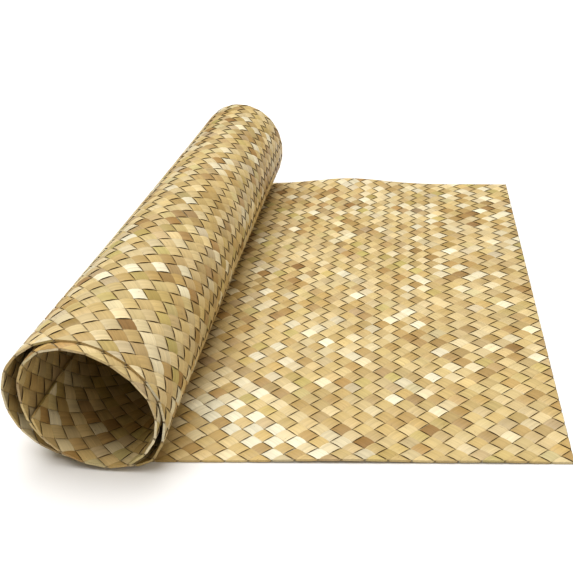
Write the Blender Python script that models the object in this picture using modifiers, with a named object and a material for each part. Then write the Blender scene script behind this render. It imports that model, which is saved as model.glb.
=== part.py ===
# Pandan floor mat, partly rolled up.
#
# The mat is one plaited sheet. Its free end lies flat on the ground at +X. The rest runs under
# the roll, up its left side and round, for a little more than two loose turns, and the inner
# end lies against the lower left of the bore. The roll lies along Y, its near end at -Y.
# Metres, +Z up, the ground at z = 0 and the origin under the middle of the whole mat.

from bisect import bisect_right
from collections import namedtuple
from math import cos, exp, radians, sin

import bmesh
import bpy

# The sheet
THICKNESS = 0.0020        # two plaited layers of leaf strip
LAYER_GAP = 0.0006        # air between turns that rest on each other
INNER_END = 797           # degrees of winding from the ground to the inner end
TAPER = 1.7               # how fast the near end's form gives way to the far end's

# Places are measured from where the near edge comes out from under the roll
FREE_END_NEAR_X = 0.5125  # the free end's near corner
FREE_END_FAR_X = 0.5095   # and its far corner
AXIS_X = -0.0635          # the middle of the roll
AXIS_Z = 0.0910
MIDDLE_X = 0.17226        # the middle of the whole mat, which becomes the origin
MIDDLE_Y = 0.43640

# How finely the sheet is divided
FLAT_STEPS = 13
WINDING_STEPS = 106
WIDTH_STEPS = 9

# The outer face of the sheet, wound clockwise from the ground as seen from the near end:
# degrees of winding, and the radius there at the near and at the far end of the roll.
Winding = namedtuple("Winding", "turned near far")
WINDINGS = [
    Winding(0, 0.0910, 0.0910),
    Winding(12, 0.0928, 0.0928),
    Winding(34, 0.0958, 0.0925),
    Winding(60, 0.1025, 0.0912),
    Winding(90, 0.1045, 0.0905),
    Winding(115, 0.1030, 0.0900),
    Winding(137, 0.0985, 0.0908),
    Winding(160, 0.0945, 0.0938),
    Winding(181, 0.0915, 0.0948),
    Winding(203, 0.0895, 0.0940),
    Winding(220, 0.0892, 0.0930),
    Winding(240, 0.0922, 0.0918),
    Winding(262, 0.0975, 0.0912),
    Winding(285, 0.1018, 0.0930),
    Winding(304, 0.1060, 0.0962),
    Winding(320, 0.1080, 0.0990),
    Winding(332, 0.1001, 0.0999),
    Winding(345, 0.0915, 0.0915),
    Winding(360, 0.0862, 0.0875),
    Winding(380, 0.0812, 0.0853),
    Winding(397, 0.0794, 0.0842),
    Winding(420, 0.0768, 0.0830),
    Winding(454, 0.0755, 0.0815),
    Winding(480, 0.0815, 0.0820),
    Winding(500, 0.0875, 0.0845),
    Winding(520, 0.0900, 0.0885),
    Winding(541, 0.0882, 0.0905),
    Winding(563, 0.0862, 0.0898),
    Winding(580, 0.0858, 0.0888),
    Winding(600, 0.0882, 0.0878),
    Winding(622, 0.0930, 0.0872),
    Winding(645, 0.0950, 0.0880),
    Winding(664, 0.0945, 0.0895),
    Winding(684, 0.0928, 0.0905),
    Winding(697, 0.0920, 0.0895),
    Winding(708, 0.0876, 0.0876),
    Winding(720, 0.0836, 0.0850),
    Winding(740, 0.0786, 0.0828),
    Winding(757, 0.0768, 0.0816),
    Winding(778, 0.0738, 0.0803),
    Winding(INNER_END, 0.0695, 0.0785),
]

# The two long edges. The mat is a little wider at the roll than at its free end, and it is
# rolled slightly askew, so that each turn stands out past the one outside it at the near end.
Edge = namedtuple("Edge", "turned near_y far_y")
EDGES = [
    Edge(0, -0.0235, 0.9140),
    Edge(225, -0.0280, 0.9085),
    Edge(360, -0.0330, 0.9040),
    Edge(585, -0.0410, 0.8960),
    Edge(720, -0.0390, 0.8950),
    Edge(INNER_END, -0.0355, 0.8960),
]
FREE_NEAR_Y = 0.0150
FREE_FAR_Y = 0.8920

# Places across the width where the sheet has a row of points, closer at the lifted far edge
ROWS = [0.0, 0.05, 0.14, 0.32, 0.52, 0.70, 0.82, 0.91, 0.965, 1.0]

# Where the flat part stands up off the ground: the middle of each rise, its reach along and
# across the mat, and its height
Rise = namedtuple("Rise", "x y reach_x reach_y height")
RISES = [
    Rise(0.175, 0.930, 0.105, 0.085, 0.0145),
    Rise(0.250, -0.020, 0.110, 0.045, 0.0040),
    Rise(0.425, 0.000, 0.050, 0.035, 0.0022),
]
LEAST_RISE = 0.0004       # anything lower lies on the ground


def along(table, turned, column):
    """A smooth curve through one column of a table."""
    places = [row.turned for row in table]
    values = [getattr(row, column) for row in table]
    last = len(places) - 2
    i = min(max(bisect_right(places, turned) - 1, 0), last)
    before, after = max(i - 1, 0), min(i + 2, last + 1)
    span = places[i + 1] - places[i]
    slope_in = (values[i + 1] - values[before]) / (places[i + 1] - places[before])
    slope_out = (values[after] - values[i]) / (places[after] - places[i])
    f = (turned - places[i]) / span
    return (
        values[i] * (1 + 2 * f) * (1 - f) ** 2
        + values[i + 1] * f * f * (3 - 2 * f)
        + span * slope_in * f * (1 - f) ** 2
        - span * slope_out * f * f * (1 - f)
    )


def lift(x, y):
    """Height of the flat part's underside over the ground."""
    total = 0.0
    for rise in RISES:
        away = ((x - rise.x) / rise.reach_x) ** 2 + ((y - rise.y) / rise.reach_y) ** 2
        total += rise.height * exp(-away)
    return max(0.0, total - LEAST_RISE)


def flat_point(across, share):
    """A point on the underside of the flat part, share 0 at the free end and 1 under the axis."""
    free_x = FREE_END_NEAR_X + (FREE_END_FAR_X - FREE_END_NEAR_X) * across
    x = free_x + (AXIS_X - free_x) * share
    near = FREE_NEAR_Y + (EDGES[0].near_y - FREE_NEAR_Y) * share
    far = FREE_FAR_Y + (EDGES[0].far_y - FREE_FAR_Y) * share
    y = near + (far - near) * across
    return x, y, lift(x, y)


def wound_point(across, turned):
    """A point on the outer face of the roll, at so many degrees of winding."""
    near = along(WINDINGS, turned, "near")
    far = along(WINDINGS, turned, "far")
    radius = far + (near - far) * (1 - across) ** TAPER
    x = AXIS_X - radius * sin(radians(turned))
    z = AXIS_Z - radius * cos(radians(turned))
    layers_below = (turned + 180) // 360
    low_y = along(EDGES, turned, "near_y")
    high_y = along(EDGES, turned, "far_y")
    y = low_y + (high_y - low_y) * across
    return x, y, max(z, layers_below * (THICKNESS + LAYER_GAP))


def sheet_mesh():
    """The outer face of the whole mat as one open surface, free end first."""
    steps = FLAT_STEPS + WINDING_STEPS
    bm = bmesh.new()
    bmesh.ops.create_grid(bm, x_segments=steps, y_segments=WIDTH_STEPS, size=0.5)
    for vert in bm.verts:
        step = round((vert.co.x + 0.5) * steps)
        across = ROWS[round((vert.co.y + 0.5) * WIDTH_STEPS)]
        if step <= FLAT_STEPS:
            x, y, z = flat_point(across, step / FLAT_STEPS)
        else:
            x, y, z = wound_point(across, INNER_END * (step - FLAT_STEPS) / WINDING_STEPS)
        vert.co = (x - MIDDLE_X, y - MIDDLE_Y, z)
    return bm


for old in list(bpy.data.objects):
    bpy.data.objects.remove(old, do_unlink=True)

collection = bpy.data.collections.new("pandan_floor_mat")
bpy.context.scene.collection.children.link(collection)

# Dry pandan leaf: matt straw
leaf = bpy.data.materials.new("dry_pandan_leaf")
leaf.use_nodes = True
leaf_shader = leaf.node_tree.nodes["Principled BSDF"]
leaf_shader.inputs["Base Color"].default_value = (0.68, 0.51, 0.25, 1.0)
leaf_shader.inputs["Roughness"].default_value = 0.62
leaf_shader.inputs["Metallic"].default_value = 0.0

# The plaited sheet: its outer face, thickened towards the inside of the roll
sheet = sheet_mesh()
mesh = bpy.data.meshes.new("mat")
sheet.to_mesh(mesh)
sheet.free()
mat = bpy.data.objects.new("mat", mesh)
collection.objects.link(mat)
mesh.materials.append(leaf)
mesh.shade_smooth()

body = mat.modifiers.new("body", "SOLIDIFY")
body.thickness = THICKNESS
body.offset = -1.0
body.use_even_offset = True
body.use_rim = True
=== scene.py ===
from math import pi, radians

import bpy
import numpy as np
from mathutils import Matrix, Vector


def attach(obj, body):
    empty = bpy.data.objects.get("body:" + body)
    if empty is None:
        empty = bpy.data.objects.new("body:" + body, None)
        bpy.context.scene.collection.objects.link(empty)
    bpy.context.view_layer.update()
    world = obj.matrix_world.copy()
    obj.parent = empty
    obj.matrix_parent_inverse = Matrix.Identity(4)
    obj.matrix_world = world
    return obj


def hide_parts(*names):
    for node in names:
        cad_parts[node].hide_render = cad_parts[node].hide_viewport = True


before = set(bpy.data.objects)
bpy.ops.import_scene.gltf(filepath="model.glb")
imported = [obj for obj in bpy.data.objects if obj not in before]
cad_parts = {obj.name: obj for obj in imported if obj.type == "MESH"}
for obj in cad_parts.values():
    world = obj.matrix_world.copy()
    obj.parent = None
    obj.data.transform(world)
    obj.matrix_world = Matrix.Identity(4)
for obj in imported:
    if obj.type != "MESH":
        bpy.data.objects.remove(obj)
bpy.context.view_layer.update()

# The left-hand strips, first set
# Every other one of the strips that run away from the free end towards the roll. Each is a
# dried, flattened pandan leaf, plaited one over, one under, and folded back at the edges.

# The form in which the mat lies: places are measured from where the near edge comes out from
# under the roll, and the origin lies under the middle of the whole mat.
MAT_THICKNESS = 0.0020
LAYER_GAP = 0.0006
INNER_END = 797              # degrees of winding from the ground to the inner end
TAPER = 1.7
FREE_END_X = (0.5125, 0.5095)       # near corner, far corner
FREE_END_Y = (0.0150, 0.8920)
AXIS_X, AXIS_Z = -0.0635, 0.0910
MIDDLE_X, MIDDLE_Y = 0.17226, 0.43640

# Degrees of winding, and the radius of the roll's outer face there at its near and far end
WINDINGS = np.array([
    (0, 0.0910, 0.0910), (12, 0.0928, 0.0928), (34, 0.0958, 0.0925), (60, 0.1025, 0.0912),
    (90, 0.1045, 0.0905), (115, 0.1030, 0.0900), (137, 0.0985, 0.0908), (160, 0.0945, 0.0938),
    (181, 0.0915, 0.0948), (203, 0.0895, 0.0940), (220, 0.0892, 0.0930), (240, 0.0922, 0.0918),
    (262, 0.0975, 0.0912), (285, 0.1018, 0.0930), (304, 0.1060, 0.0962), (320, 0.1080, 0.0990),
    (332, 0.1001, 0.0999), (345, 0.0915, 0.0915), (360, 0.0862, 0.0875), (380, 0.0812, 0.0853),
    (397, 0.0794, 0.0842), (420, 0.0768, 0.0830), (454, 0.0755, 0.0815), (480, 0.0815, 0.0820),
    (500, 0.0875, 0.0845), (520, 0.0900, 0.0885), (541, 0.0882, 0.0905), (563, 0.0862, 0.0898),
    (580, 0.0858, 0.0888), (600, 0.0882, 0.0878), (622, 0.0930, 0.0872), (645, 0.0950, 0.0880),
    (664, 0.0945, 0.0895), (684, 0.0928, 0.0905), (697, 0.0920, 0.0895), (708, 0.0876, 0.0876),
    (720, 0.0836, 0.0850), (740, 0.0786, 0.0828), (757, 0.0768, 0.0816), (778, 0.0738, 0.0803),
    (INNER_END, 0.0695, 0.0785),
])
# Degrees of winding, and where the two long edges are there
EDGES = np.array([
    (0, -0.0235, 0.9140), (225, -0.0280, 0.9085), (360, -0.0330, 0.9040),
    (585, -0.0410, 0.8960), (720, -0.0390, 0.8950), (INNER_END, -0.0355, 0.8960),
])
# Where the flat part stands up off the ground: middle, reach along and across, height
RISES = [
    (0.175, 0.930, 0.105, 0.085, 0.0145),
    (0.250, -0.020, 0.110, 0.045, 0.0040),
    (0.425, 0.000, 0.050, 0.035, 0.0022),
]
LEAST_RISE = 0.0004


def along(table, turned, column):
    """A smooth curve through one column of a table."""
    places, values = table[:, 0], table[:, column]
    i = np.clip(np.searchsorted(places, turned, side="right") - 1, 0, len(places) - 2)
    before, after = np.maximum(i - 1, 0), np.minimum(i + 2, len(places) - 1)
    span = places[i + 1] - places[i]
    slope_in = (values[i + 1] - values[before]) / (places[i + 1] - places[before])
    slope_out = (values[after] - values[i]) / (places[after] - places[i])
    f = (turned - places[i]) / span
    return (
        values[i] * (1 + 2 * f) * (1 - f) ** 2
        + values[i + 1] * f * f * (3 - 2 * f)
        + span * slope_in * f * (1 - f) ** 2
        - span * slope_out * f * f * (1 - f)
    )


def line_across(share, turned, across):
    """Points of the mat's lower and outer face at one place across its width."""
    free_x = FREE_END_X[0] + (FREE_END_X[1] - FREE_END_X[0]) * across
    near = FREE_END_Y[0] + (EDGES[0, 1] - FREE_END_Y[0]) * share
    far = FREE_END_Y[1] + (EDGES[0, 2] - FREE_END_Y[1]) * share
    x, y = free_x + (AXIS_X - free_x) * share, near + (far - near) * across
    lift = sum(
        height * np.exp(-((x - at_x) / reach_x) ** 2 - ((y - at_y) / reach_y) ** 2)
        for at_x, at_y, reach_x, reach_y, height in RISES
    )
    flat = np.stack([x, y, np.maximum(0, lift - LEAST_RISE)], axis=1)

    radius = along(WINDINGS, turned, 2)
    radius = radius + (along(WINDINGS, turned, 1) - radius) * (1 - across) ** TAPER
    low, high = along(EDGES, turned, 1), along(EDGES, turned, 2)
    z = AXIS_Z - radius * np.cos(np.radians(turned))
    layers_below = (turned + 180) // 360
    wound = np.stack([
        AXIS_X - radius * np.sin(np.radians(turned)),
        low + (high - low) * across,
        np.maximum(z, layers_below * (MAT_THICKNESS + LAYER_GAP)),
    ], axis=1)
    return np.concatenate([flat, wound]) - (MIDDLE_X, MIDDLE_Y, 0)


# The plait is counted in diagonals of its square cells, 35 across the mat and 62 along it. It
# is tightest at the free end and the near edge, and its rows bow a little towards the roll.
DIAGONALS_ACROSS, DIAGONALS_ALONG = 35, 62
ALONG_TIGHTNESS = np.array([       # diagonals from the free end, share of the mat's length
    (0, 0.0), (3.25, 0.0469), (7.45, 0.1094), (13.0, 0.1945), (16.0, 0.2422), (20.3, 0.3125),
    (40.0, 0.6375), (DIAGONALS_ALONG, 1.0),
])
ACROSS_TIGHTNESS = np.array([(0, 0.0), (1.5, 0.039), (20.0, 0.563), (DIAGONALS_ACROSS, 1.0)])
BOW, BOW_SHARE, BOW_FADE = 0.0156, 0.62, 5.0
ROWS_A_DIAGONAL, COLUMNS_A_DIAGONAL = 4, 8


def lay_out_mat():
    """A net of points down the middle of the mat's thickness, and its direction there."""
    share, turned = np.linspace(0, 1, 80)[:-1], np.linspace(0, INNER_END, 1200)
    rows = DIAGONALS_ACROSS * ROWS_A_DIAGONAL + 1
    columns = DIAGONALS_ALONG * COLUMNS_A_DIAGONAL + 1
    diagonal = np.linspace(0, DIAGONALS_ALONG, columns)
    straight = along(ALONG_TIGHTNESS, diagonal, 1)
    bowed = np.clip(np.minimum(diagonal, DIAGONALS_ALONG - diagonal) / BOW_FADE, 0, 1)
    net = np.zeros((rows, columns, 3))
    row_shares = along(ACROSS_TIGHTNESS, np.linspace(0, DIAGONALS_ACROSS, rows), 1)
    for row, across in enumerate(row_shares):
        line = line_across(share, turned, across)
        steps = np.linalg.norm(np.diff(line, axis=0), axis=1)
        gone = np.concatenate([[0], np.cumsum(steps)])
        bow = BOW * (1 - max(0, 1 - across / BOW_SHARE) ** 2)
        at = (straight + bow * bowed) * gone[-1]
        net[row] = np.stack([np.interp(at, gone, line[:, k]) for k in range(3)], axis=1)
    inward = np.cross(np.gradient(net, axis=0), np.gradient(net, axis=1))
    inward /= np.linalg.norm(inward, axis=2, keepdims=True)
    return net + inward * MAT_THICKNESS / 2, inward


mat_net, mat_inward = lay_out_mat()


def on_mat(x, y, height):
    """Where a point of the plait lies, x diagonals from the free end and y across."""
    column, row = x * COLUMNS_A_DIAGONAL, y * ROWS_A_DIAGONAL
    c = np.clip(np.floor(column).astype(int), 0, mat_net.shape[1] - 2)
    r = np.clip(np.floor(row).astype(int), 0, mat_net.shape[0] - 2)
    fc, fr = (column - c)[..., None], (row - r)[..., None]

    def between(net):
        return (net[r, c] * (1 - fc) + net[r, c + 1] * fc) * (1 - fr) + (
            net[r + 1, c] * (1 - fc) + net[r + 1, c + 1] * fc
        ) * fr

    inward = between(mat_inward)
    inward /= np.linalg.norm(inward, axis=-1, keepdims=True)
    return between(mat_net) + inward * height[..., None]


STRIP_WIDTH = 0.0186
STRIP_GAP = 0.034            # of its width that a strip leaves free on each side
FLOAT_SPREAD = 0.030         # of its width that it spreads again in the middle of a float
WIDTH_VARIES = 0.012         # of its width, either way
SIDE_HALF_THICKNESS = 0.00030
MIDDLE_HALF_THICKNESS = 0.00040
FOLD_HALF_THICKNESS = 0.0015
WEAVE_HEIGHT = 0.0016        # how far a strip stands off the middle of the mat
FLATNESS = 2.3               # how flat the top of each float is
ROUNDED_SHARE = 0.16         # of a strip's width, on each side
CELL_ROWS = np.array([0.0, 0.08, 0.30, 0.70, 0.92])
NOTCH = 0.06                 # of a strip's width, between one fold and the next
FOLD_INSET = 0.022           # the inner of two folded layers lies this much further in
WANDER_ROWS = 30             # over which a strip wanders to the side

# Dried pandan leaf as it varies from strip to strip: cream, pale straw, straw, honey, tan,
# brown, olive
LEAF_COLOURS = np.array([
    (0.72, 0.67, 0.50), (0.60, 0.485, 0.270), (0.52, 0.400, 0.185), (0.45, 0.320, 0.130),
    (0.34, 0.210, 0.078), (0.25, 0.140, 0.046), (0.44, 0.370, 0.135),
])
LEAF_SHARES = np.array([0.10, 0.24, 0.28, 0.19, 0.11, 0.03, 0.05])
CELLS_A_DRIFT = 3            # over which a strip's tone drifts to another
DRIFT_LEAST, DRIFT_MOST = 0.1, 0.8
LONE_POWER = 2.0             # the higher, the fewer cells stand out alone
BLEACHED_LEAST, BLEACHED_MOST = 0.90, 1.04
TONE_VARIES = 0.07


def leaf_tones(chance, cells, pale):
    """The colour of one strip in each cell that it passes, drifting slowly along the leaf."""
    own = LEAF_COLOURS[chance.choice(len(LEAF_COLOURS), p=LEAF_SHARES)]
    knots = max(2, cells // CELLS_A_DRIFT + 2)
    other = LEAF_COLOURS[chance.choice(len(LEAF_COLOURS), size=knots, p=LEAF_SHARES)]
    amount = chance.uniform(DRIFT_LEAST, DRIFT_MOST, knots)
    drift = own + (other - own) * amount[:, None]
    at = np.linspace(0, knots - 1, cells)
    tones = np.stack([np.interp(at, np.arange(knots), drift[:, k]) for k in range(3)], axis=1)
    alone = LEAF_COLOURS[chance.choice(len(LEAF_COLOURS), size=cells, p=LEAF_SHARES)]
    lone = chance.uniform(0, 1, (cells, 1)) ** LONE_POWER
    tones = tones + (alone - tones) * lone
    if pale:
        first, last = pale
        bleached = chance.uniform(BLEACHED_LEAST, BLEACHED_MOST, (last - first, 1))
        tones[first:last] = LEAF_COLOURS[0] * bleached
    return tones * chance.normal(1.0, TONE_VARIES, (cells, 1))


SAMPLED_LEAVES = 500         # strips apart, so that no two share a grain
SHARP_ANGLE = 50             # degrees, between a strip's face and its cut side
END_FACES = np.array([(1, 0, 7, 6), (2, 1, 6, 5), (3, 2, 5, 4)])


def plait_strips(name, lean, first, seed, pale):
    """Every other strip of one direction, from the first, as one mesh. lean is 1 or -1, and
    pale gives the cells that some strips cross in a bleached leaf."""
    chance = np.random.default_rng(seed)
    cross = np.array([STRIP_GAP, ROUNDED_SHARE, 1 - ROUNDED_SHARE, 1 - STRIP_GAP])
    half = np.array([SIDE_HALF_THICKNESS, MIDDLE_HALF_THICKNESS])[[0, 1, 1, 0]]
    ring = len(cross) * 2
    points, faces = [], []
    corners = {"strip": [], "cell": [], "leaf": [], "painted_shade_mask": []}
    made = 0
    for strip in range(first - DIAGONALS_ACROSS, DIAGONALS_ALONG, 2):
        # Where the strip runs: u across its direction and v along it, in cells
        start_cell = strip if strip >= 0 else -strip - 1
        end_cell = min(strip + 2 * DIAGONALS_ACROSS, 2 * DIAGONALS_ALONG - 1 - strip)
        cells = end_cell - start_cell + 1
        cell = np.repeat(np.arange(start_cell, end_cell + 1), len(CELL_ROWS))
        part = np.tile(CELL_ROWS, cells)
        cell, part = np.append(cell, end_cell)[:, None], np.append(part, 1.0)[:, None]
        rows = len(cell)
        turns = np.arange(0, rows + WANDER_ROWS, WANDER_ROWS)
        aside = chance.uniform(-WIDTH_VARIES, WIDTH_VARIES, len(turns))
        wander = np.interp(np.arange(rows), turns, aside)[:, None]
        spread = FLOAT_SPREAD * (1 - (2 * part - 1) ** 2)
        own_width = chance.uniform(-WIDTH_VARIES, WIDTH_VARIES)
        u = strip + 0.5 + (cross - 0.5) * (1 + 2 * spread + own_width) + wander
        inset = NOTCH * (2 * cross - 1) ** 4 + (FOLD_INSET if lean > 0 else 0)
        start = np.abs(u) + inset
        end = np.minimum(u + 2 * DIAGONALS_ACROSS, 2 * DIAGONALS_ALONG - u) - inset
        low = np.where(cell == start_cell, start, cell)
        high = np.where(cell == end_cell, end, cell + 1.0)
        v = low + (high - low) * part
        x = np.clip((u + v) / 2, 0, DIAGONALS_ALONG)
        y = np.clip((v - u) / 2, 0, DIAGONALS_ACROSS)
        if lean < 0:
            y = DIAGONALS_ACROSS - y

        # Over one, under one, and thick where it folds back at the mat's edges
        over = np.where((strip + cell) % 2 == 1, lean, -lean)
        middle = WEAVE_HEIGHT * over * (1 - np.abs(2 * np.clip(v - cell, 0, 1) - 1) ** FLATNESS)
        thick = np.tile(half, (rows, 1))
        middle[[0, -1]], thick[[0, -1]] = 0, FOLD_HALF_THICKNESS
        upper, lower = on_mat(x, y, middle + thick), on_mat(x, y, middle - thick)
        points.append(np.concatenate([upper, lower[:, ::-1]], axis=1).reshape(-1, 3))

        i, k = np.meshgrid(np.arange(rows - 1), np.arange(ring), indexing="ij")
        a, b = i * ring + k, i * ring + (k + 1) % ring
        quads = np.stack([a, b, b + ring, a + ring], axis=-1)
        side = np.isin(k, (len(cross) - 1, ring - 1)).reshape(-1)
        far_end = (rows - 1) * ring + END_FACES[:, ::-1]
        quads = np.concatenate([quads.reshape(-1, 4), END_FACES, far_end])
        side = np.append(side, np.zeros(2 * len(END_FACES), bool))
        if lean < 0:
            quads = quads[:, ::-1]
        faces.append(made + quads)
        made += rows * ring

        # What the material reads: the leaf's own length and width in metres, the place within
        # a cell, the tone, and a mask for painted shade over what lies under the next strip and
        # the cut sides
        width = np.broadcast_to(np.concatenate([cross, cross[::-1]]), (rows, ring))
        length = np.concatenate([v, v[:, ::-1]], axis=1)
        own_width_place = width + chance.uniform(0, SAMPLED_LEAVES)
        strip_place = np.stack([own_width_place, length], axis=-1) * STRIP_WIDTH
        cell_place = np.stack([width, length], axis=-1)
        corners["strip"].append(strip_place.reshape(-1, 2)[quads].reshape(-1, 2))
        corners["cell"].append(cell_place.reshape(-1, 2)[quads].reshape(-1, 2))
        tone = leaf_tones(chance, cells, pale.get(strip))[cell[:, 0] - start_cell]
        corners["leaf"].append(np.repeat(tone, ring, axis=0)[quads].reshape(-1, 3))
        # Painted shade: the faces that lie under the next strip, and the cut sides, are marked
        # to be painted dark brown
        inside = (part > 0) & (part < 1)
        painted_shade_mask = np.hstack([inside & (over < 0), inside & (over > 0)])
        painted_shade_mask = np.repeat(painted_shade_mask, len(cross), axis=1)
        corners["painted_shade_mask"].append((painted_shade_mask.reshape(-1)[quads] | side[:, None]).reshape(-1))

    points, faces = np.concatenate(points), np.concatenate(faces)
    mesh = bpy.data.meshes.new(name)
    mesh.vertices.add(len(points))
    mesh.vertices.foreach_set("co", points.astype(np.float32).ravel())
    mesh.loops.add(faces.size)
    mesh.loops.foreach_set("vertex_index", faces.astype(np.int32).ravel())
    mesh.polygons.add(len(faces))
    mesh.polygons.foreach_set("loop_start", np.arange(0, faces.size, 4, dtype=np.int32))
    mesh.update(calc_edges=True)
    corners = {key: np.concatenate(rows).astype(np.float32) for key, rows in corners.items()}
    for map_name in ("strip", "cell"):
        uv_map = mesh.uv_layers.new(name=map_name)
        uv_map.uv.foreach_set("vector", corners[map_name].ravel())
    leaf = mesh.attributes.new("leaf", "FLOAT_COLOR", "CORNER")
    leaf.data.foreach_set("color", np.insert(corners["leaf"], 3, 1.0, axis=1).ravel())
    # The mask of painted shade
    painted_shade_mask = mesh.attributes.new("painted_shade_mask", "FLOAT", "CORNER")
    painted_shade_mask.data.foreach_set("value", corners["painted_shade_mask"])
    mesh.shade_smooth()
    mesh.set_sharp_from_angle(angle=radians(SHARP_ANGLE))
    strips = bpy.data.objects.new(name, mesh)
    bpy.context.collection.objects.link(strips)
    return strips


class Shade:
    """A value or colour in a material, which Python's own signs work on."""

    def __init__(self, tree, socket):
        self.tree, self.socket = tree, socket

    def node(self, kind, settings=None, output=0, **inputs):
        made = self.tree.nodes.new(kind)
        for key, value in (settings or {}).items():
            setattr(made, key, value)
        for key, value in inputs.items():
            socket = made.inputs[int(key[1:]) if key[1:].isdigit() else key.replace("_", " ")]
            if isinstance(value, Shade):
                self.tree.links.new(value.socket, socket)
            else:
                socket.default_value = value
        return Shade(self.tree, made.outputs[output])

    def maths(self, operation, a, b):
        return self.node("ShaderNodeMath", {"operation": operation}, i0=a, i1=b)

    def size(self):
        return self.maths("ABSOLUTE", self, 0.0)

    def fraction(self):
        return self.maths("FRACT", self, 0.0)

    def at_least(self, other):
        return self.maths("MAXIMUM", self, other)

    def __add__(self, other):
        return self.maths("ADD", self, other)

    __radd__ = __add__

    def __sub__(self, other):
        return self.maths("SUBTRACT", self, other)

    def __rsub__(self, other):
        return self.maths("SUBTRACT", other, self)

    def __mul__(self, other):
        return self.maths("MULTIPLY", self, other)

    __rmul__ = __mul__


# How often the leaf's grain repeats, across and along a strip, in a metre
FIBRES = (1100.0, 22.0, 1.0)
VEINS = (320.0, 9.0, 1.0)
FLECKS = (420.0, 130.0, 1.0)
FIBRE_CONTRAST, VEIN_CONTRAST = 0.34, 0.50
FLECK_FROM, FLECK_FULL, FLECK_DARK = 0.70, 0.78, 0.45
FLECK_BROWN = (0.20, 0.11, 0.045, 1.0)
# Painted shade: a dark brown mixed into the leaf where one strip goes under the next and on the
# cut sides, in place of the shade there
CREVICE_SHADE_REACH = 0.055        # of a cell, in the middle of a float's side
CREVICE_SHADE_TAPER = 0.035        # and how much less at its two ends
CREVICE_SHADE_DARK = 0.88
CREVICE_SHADE_BROWN = (0.070, 0.036, 0.013, 1.0)
ROUGHNESS, ROUGHNESS_VARIES = 0.46, 0.30
GRAIN_DEPTH, GRAIN_STRENGTH = 0.0004, 0.35


def dried_leaf(name, crevice_shade):
    """Dried pandan: matt straw with a faint gloss, fine fibres along the strip, a few flecks,
    and painted shade, dark brown, where one strip goes under another and on the cut sides. The
    last argument is how dark that painted shade is."""
    material = bpy.data.materials.new(name)
    material.use_nodes = True
    tree = material.node_tree
    shader = tree.nodes["Principled BSDF"]
    leaf_node = tree.nodes.new("ShaderNodeAttribute")
    leaf_node.attribute_name = "leaf"
    leaf = Shade(tree, leaf_node.outputs["Color"])
    # The mask of painted shade that the strips carry
    painted_shade_mask = leaf.node("ShaderNodeAttribute", {"attribute_name": "painted_shade_mask"}, output=2)

    # Fibres and veins run along the strip
    place = leaf.node("ShaderNodeUVMap", {"uv_map": "strip"})
    fibre_place = leaf.node("ShaderNodeMapping", Vector=place, Scale=FIBRES)
    vein_place = leaf.node("ShaderNodeMapping", Vector=place, Scale=VEINS)
    fleck_place = leaf.node("ShaderNodeMapping", Vector=place, Scale=FLECKS)
    fibres = leaf.node("ShaderNodeTexNoise", Vector=fibre_place, Scale=1.0, Detail=3.0)
    veins = leaf.node("ShaderNodeTexNoise", Vector=vein_place, Scale=1.0, Detail=2.0)
    flecks = leaf.node("ShaderNodeTexNoise", Vector=fleck_place, Scale=1.0, Detail=1.0)
    streak = (fibres - 0.5) * FIBRE_CONTRAST + (veins - 0.5) * VEIN_CONTRAST + 1.0
    streaked = leaf.node(
        "ShaderNodeVectorMath", {"operation": "SCALE"}, Vector=leaf, Scale=streak
    )
    fleck = leaf.node(
        "ShaderNodeMapRange", Value=flecks, From_Min=FLECK_FROM, From_Max=FLECK_FULL,
        To_Min=0.0, To_Max=FLECK_DARK,
    )
    flecked = leaf.node(
        "ShaderNodeMix", {"data_type": "RGBA"}, output=2, Factor=fleck, i6=streaked,
        i7=FLECK_BROWN,
    )

    # A crescent of painted shade on each side of a float, widest in the middle, and painted
    # shade over what lies under the next strip and on the cut sides
    cell = leaf.node("ShaderNodeUVMap", {"uv_map": "cell"})
    width = leaf.node("ShaderNodeSeparateXYZ", Vector=cell)
    length = leaf.node("ShaderNodeSeparateXYZ", output=1, Vector=cell)
    off_middle = width * 2.0 - 1.0
    reach = CREVICE_SHADE_REACH - off_middle * off_middle * CREVICE_SHADE_TAPER
    to_next = 0.5 - (length.fraction() - 0.5).size()
    shade_crescent = leaf.node(
        "ShaderNodeMapRange", Value=to_next, From_Min=0.0, From_Max=reach, To_Min=crevice_shade,
        To_Max=0.0,
    )
    shade_amount = shade_crescent.at_least(painted_shade_mask)
    # Painted shade: dark brown mixed in over the crescents and the masked parts
    colour = leaf.node(
        "ShaderNodeMix", {"data_type": "RGBA"}, output=2, Factor=shade_amount * CREVICE_SHADE_DARK,
        i6=flecked, i7=CREVICE_SHADE_BROWN,
    )
    tree.links.new(colour.socket, shader.inputs["Base Color"])
    rough = ROUGHNESS + (veins - 0.5) * ROUGHNESS_VARIES
    tree.links.new(rough.socket, shader.inputs["Roughness"])
    grain = leaf.node(
        "ShaderNodeBump", Strength=GRAIN_STRENGTH, Distance=GRAIN_DEPTH,
        Height=fibres * 0.5 + veins,
    )
    tree.links.new(grain.socket, shader.inputs["Normal"])
    shader.inputs["Specular IOR Level"].default_value = 0.35
    return material


def finish_strips(strips, material):
    """Gives a set of strips its leaf and says what it is in the model."""
    strips.data.materials.append(material)
    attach(strips, "root")
    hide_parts("mat")


# 0.50 is how dark the painted shade is where these strips go under the right-hand ones
left_leaf = dried_leaf("left_strip_leaf", 0.50)
left_strips_a = plait_strips("left_strips_a", 1, 0, 11, {11: (2, 11)})
finish_strips(left_strips_a, left_leaf)

# The left-hand strips, second set
# The strips between those of the first set, of the same leaf and plaited the same way.
left_strips_b = plait_strips("left_strips_b", 1, 1, 12, {10: (1, 11), 12: (0, 10)})
finish_strips(left_strips_b, left_leaf)

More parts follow.
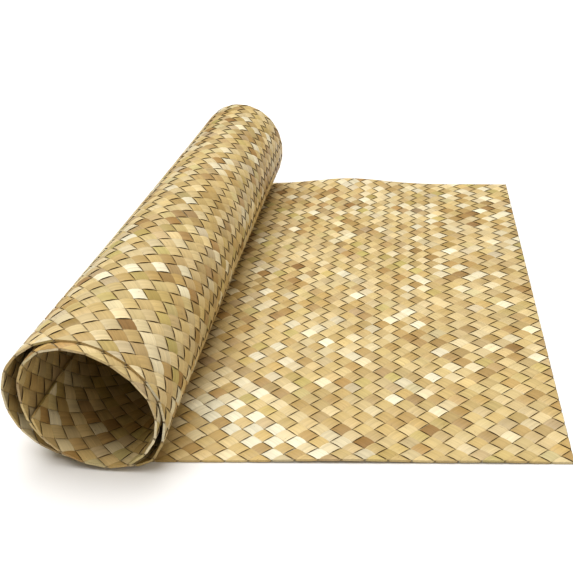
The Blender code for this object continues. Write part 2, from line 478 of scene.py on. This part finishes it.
# The right-hand strips, first set
# They cross the left-hand ones at a right angle, and each is the same leaf folded back at the
# mat's edges.
# 0.90: the painted shade where these strips go under the left-hand ones is darker than on the
#       left-hand strips
right_leaf = dried_leaf("right_strip_leaf", 0.90)
right_strips_a = plait_strips("right_strips_a", -1, 0, 13, {})
finish_strips(right_strips_a, right_leaf)

# The right-hand strips, second set
# The strips between those of the first set, which close the plait.
right_strips_b = plait_strips("right_strips_b", -1, 1, 14, {})
finish_strips(right_strips_b, right_leaf)

# The floor
# A plain white floor just under the mat, wide enough to fill every view.
FLOOR_SIZE = 60
FLOOR_Z = -0.0011            # just clear of the lowest floats
FLOOR_WHITE = (0.82, 0.82, 0.82, 1.0)
bpy.ops.object.select_all(action="DESELECT")
bpy.ops.mesh.primitive_plane_add(size=FLOOR_SIZE, location=(0, 0, FLOOR_Z))
floor = bpy.context.object
floor.name = "floor"
bpy.ops.object.transform_apply(location=True)
floor_paint = bpy.data.materials.new("white_floor")
floor_paint.use_nodes = True
floor_shader = floor_paint.node_tree.nodes["Principled BSDF"]
floor_shader.inputs["Base Color"].default_value = FLOOR_WHITE
floor_shader.inputs["Roughness"].default_value = 0.9
floor.data.materials.append(floor_paint)

# The lights
# A broad soft light high above the mat, a little behind it and to the left, a weak one from
# the right in front, and a dim warm room with a white backdrop.
def soft_sun(name, towards, strength, spread, colour):
    lamp = bpy.data.lights.new(name, "SUN")
    lamp.energy, lamp.angle, lamp.color = strength, radians(spread), colour
    light = bpy.data.objects.new(name, lamp)
    bpy.context.collection.objects.link(light)
    light.rotation_euler = Vector(towards).to_track_quat("Z", "Y").to_euler()


soft_sun("key", (-0.14, 0.10, 0.95), 3.15, 60, (1.0, 1.0, 1.0))
soft_sun("fill", (0.75, -0.45, 0.50), 0.75, 50, (1.0, 0.94, 0.86))

ROOM_COLOUR, ROOM_STRENGTH = (1.0, 0.88, 0.72, 1.0), 0.17
BACKDROP_COLOUR = (1.0, 1.0, 1.0, 1.0)
world = bpy.data.worlds.new("pale_room")
bpy.context.scene.world = world
world.use_nodes = True
parts, links = world.node_tree.nodes, world.node_tree.links
room = parts["Background"]
room.inputs["Color"].default_value = ROOM_COLOUR
room.inputs["Strength"].default_value = ROOM_STRENGTH
backdrop = parts.new("ShaderNodeBackground")
backdrop.inputs["Color"].default_value = BACKDROP_COLOUR
seen = parts.new("ShaderNodeLightPath")
either = parts.new("ShaderNodeMixShader")
links.new(seen.outputs["Is Camera Ray"], either.inputs["Fac"])
links.new(room.outputs["Background"], either.inputs[1])
links.new(backdrop.outputs["Background"], either.inputs[2])
links.new(either.outputs["Shader"], parts["World Output"].inputs["Surface"])

# The camera
# It looks down on the mat from in front and a little to the right, as in the photograph.
PICTURE_WIDTH = 573.0        # pixels
FOCAL_LENGTH = 785.0         # pixels
SENSOR_WIDTH = 36.0
CAMERA_PLACE = (0.15874, -1.16640, 0.647)
LOOKS_LEFT, LOOKS_DOWN, LEANS = 11.0, 28.6, 4.6     # degrees
camera_data = bpy.data.cameras.new("camera")
camera_data.sensor_width = SENSOR_WIDTH
camera_data.lens = FOCAL_LENGTH / PICTURE_WIDTH * SENSOR_WIDTH
camera = bpy.data.objects.new("camera", camera_data)
bpy.context.collection.objects.link(camera)
turn = (
    Matrix.Rotation(radians(LOOKS_LEFT), 4, "Z")
    @ Matrix.Rotation(radians(-LOOKS_DOWN), 4, "X")
    @ Matrix.Rotation(radians(LEANS), 4, "Y")
    @ Matrix.Rotation(pi / 2, 4, "X")
)
camera.matrix_world = Matrix.Translation(CAMERA_PLACE) @ turn
bpy.context.scene.camera = camera
bpy.context.scene.view_settings.view_transform = "Standard"
bpy.context.scene.view_settings.look = "Medium High Contrast"
